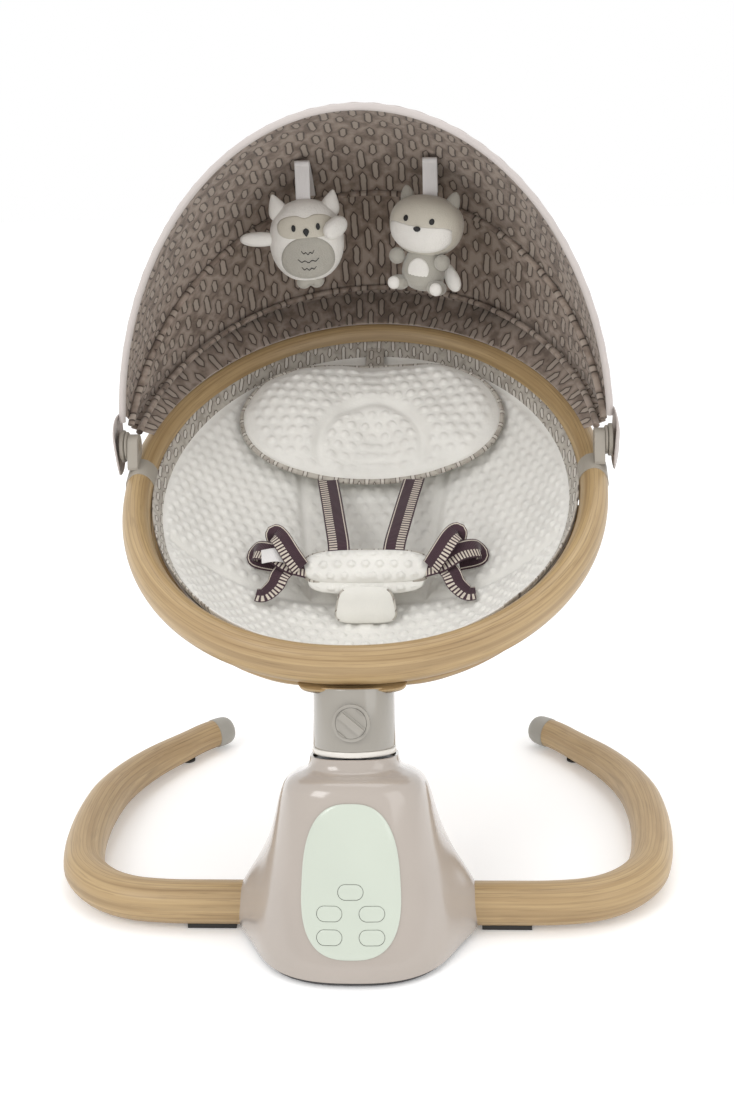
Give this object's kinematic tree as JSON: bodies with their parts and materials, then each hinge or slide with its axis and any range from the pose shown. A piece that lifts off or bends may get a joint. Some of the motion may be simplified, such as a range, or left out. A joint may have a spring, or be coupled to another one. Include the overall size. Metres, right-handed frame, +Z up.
{
  "type": "baby swing",
  "caption": "Tilted oval seat ring with a padded bowl, harness and folding hood with hanging toys, on a neck that swings above a bell-shaped base with curved legs.",
  "frame": {"origin": "on the floor, under the middle of the swing's bounding box", "axes": "+Z up, +Y towards the rear (head end) of the seat, +X across, so the control panel faces -Y"},
  "size_m": [0.7, 0.7755, 0.8405],
  "materials": {
    "housing_plastic": "high gloss warm greige",
    "trim_plastic": "gloss, paler than the neck",
    "wood_finish": "satin light oak grain finish",
    "grey_plastic": "satin moulded grey",
    "dark_plastic": "satin dark grey",
    "rubber": "matt rubber",
    "panel_plastic": "gloss pale mint",
    "board": "green lacquer",
    "steel": "ground steel",
    "cast_alloy": "cast",
    "copper_winding": "enamelled winding",
    "magnet": "plated",
    "minky_fabric": "embossed dot plush",
    "sling_fabric": "plain weave",
    "webbing": "woven webbing with a pale edge pattern",
    "canopy_fabric": "plain weave outside, printed lining",
    "white_tape": "woven tape",
    "owl_plush": "short plush",
    "fox_plush": "short plush"
  },
  "bodies": {
    "base": {"base_housing": "housing_plastic", "base_plate": "dark_plastic", "base_feet": "rubber", "leg_left": "wood_finish", "leg_right": "wood_finish", "leg_cap_left": "grey_plastic", "leg_cap_right": "grey_plastic", "leg_socket_left": "dark_plastic", "leg_socket_right": "dark_plastic", "leg_pads": "rubber", "control_panel": "panel_plastic", "circuit_board": "board", "speaker": "dark_plastic", "power_inlet": "dark_plastic", "housing_screws": "steel", "lower_bearing_block": "cast_alloy", "upper_bearing_plate": "cast_alloy", "lower_bearing": "steel", "upper_bearing": "steel", "drive_coil": "copper_winding"},
    "swing": {"swing_shaft": "steel", "magnet_arm": "cast_alloy", "drive_magnet": "magnet", "neck": "housing_plastic", "neck_trim_ring": "trim_plastic", "knob_bezel": "housing_plastic", "seat_adaptor": "wood_finish", "support_arm_left": "wood_finish", "support_arm_right": "wood_finish", "ring_front": "wood_finish", "ring_rear": "wood_finish", "ring_bracket_left": "grey_plastic", "ring_bracket_right": "grey_plastic", "pivot_screws": "steel", "seat_sling": "sling_fabric", "seat_pad": "minky_fabric", "head_pillow": "minky_fabric", "shoulder_strap_left": "webbing", "shoulder_strap_right": "webbing", "waist_strap_left": "webbing", "waist_strap_right": "webbing", "belly_pad": "minky_fabric", "crotch_piece": "minky_fabric", "canopy_rear_bow": "dark_plastic", "canopy_tail": "canopy_fabric"},
    "knob": {"lock_knob": "housing_plastic"},
    "key_power": {"key_power": "panel_plastic"},
    "key_swing": {"key_swing": "panel_plastic"},
    "key_music": {"key_music": "panel_plastic"},
    "key_timer": {"key_timer": "panel_plastic"},
    "key_volume": {"key_volume": "panel_plastic"},
    "front_bow": {"canopy_front_bow": "dark_plastic", "canopy_front_panel": "canopy_fabric"},
    "mid_bow": {"canopy_mid_bow": "dark_plastic", "canopy_rear_panel": "canopy_fabric", "toy_loop_left": "white_tape", "toy_loop_right": "white_tape"},
    "owl": {"toy_owl": "owl_plush"},
    "fox": {"toy_fox": "fox_plush"}
  },
  "joints": [
    {"name": "seat_swing", "type": "hinge", "parent": "base", "child": "swing", "pos_m": [0, -0.2642, 0.15], "axis": [0, 0.2419, 0.9703], "range_deg": [-12, 12]},
    {"name": "lock_knob_turn", "type": "hinge", "parent": "swing", "child": "knob", "pos_m": [0, -0.2446, 0.22859], "axis": [0, -0.9703, 0.2419], "range_deg": [0, 90]},
    {"name": "key_power_press", "type": "slide", "parent": "base", "child": "key_power", "axis": [0, 0.9397, -0.342], "range_m": [0, 0.0008], "stiffness_N_per_m": 300, "springref_m": -0.0008},
    {"name": "key_swing_press", "type": "slide", "parent": "base", "child": "key_swing", "axis": [0, 0.9397, -0.342], "range_m": [0, 0.0008], "stiffness_N_per_m": 300, "springref_m": -0.0008},
    {"name": "key_music_press", "type": "slide", "parent": "base", "child": "key_music", "axis": [0, 0.9397, -0.342], "range_m": [0, 0.0008], "stiffness_N_per_m": 300, "springref_m": -0.0008},
    {"name": "key_timer_press", "type": "slide", "parent": "base", "child": "key_timer", "axis": [0, 0.9397, -0.342], "range_m": [0, 0.0008], "stiffness_N_per_m": 300, "springref_m": -0.0008},
    {"name": "key_volume_press", "type": "slide", "parent": "base", "child": "key_volume", "axis": [0, 0.9397, -0.342], "range_m": [0, 0.0008], "stiffness_N_per_m": 300, "springref_m": -0.0008},
    {"name": "canopy_fold", "type": "hinge", "parent": "swing", "child": "front_bow", "pos_m": [0, 0.0358, 0.457], "axis": [-1, 0, 0], "range_deg": [0, 48]},
    {"name": "canopy_mid_fold", "type": "hinge", "parent": "swing", "child": "mid_bow", "pos_m": [0, 0.0358, 0.457], "axis": [-1, 0, 0], "range_deg": [0, 17]},
    {"name": "owl_dangle", "type": "hinge", "parent": "mid_bow", "child": "owl", "pos_m": [-0.078, 0.20246, 0.77045], "axis": [-1, 0, 0], "range_deg": [-8, 20]},
    {"name": "fox_dangle", "type": "hinge", "parent": "mid_bow", "child": "fox", "pos_m": [0.078, 0.20246, 0.77045], "axis": [-1, 0, 0], "range_deg": [-8, 20]}
  ],
  "couplings": [
    {"joint": "canopy_mid_fold", "follows": "canopy_fold", "ratio": 0.35}
  ]
}
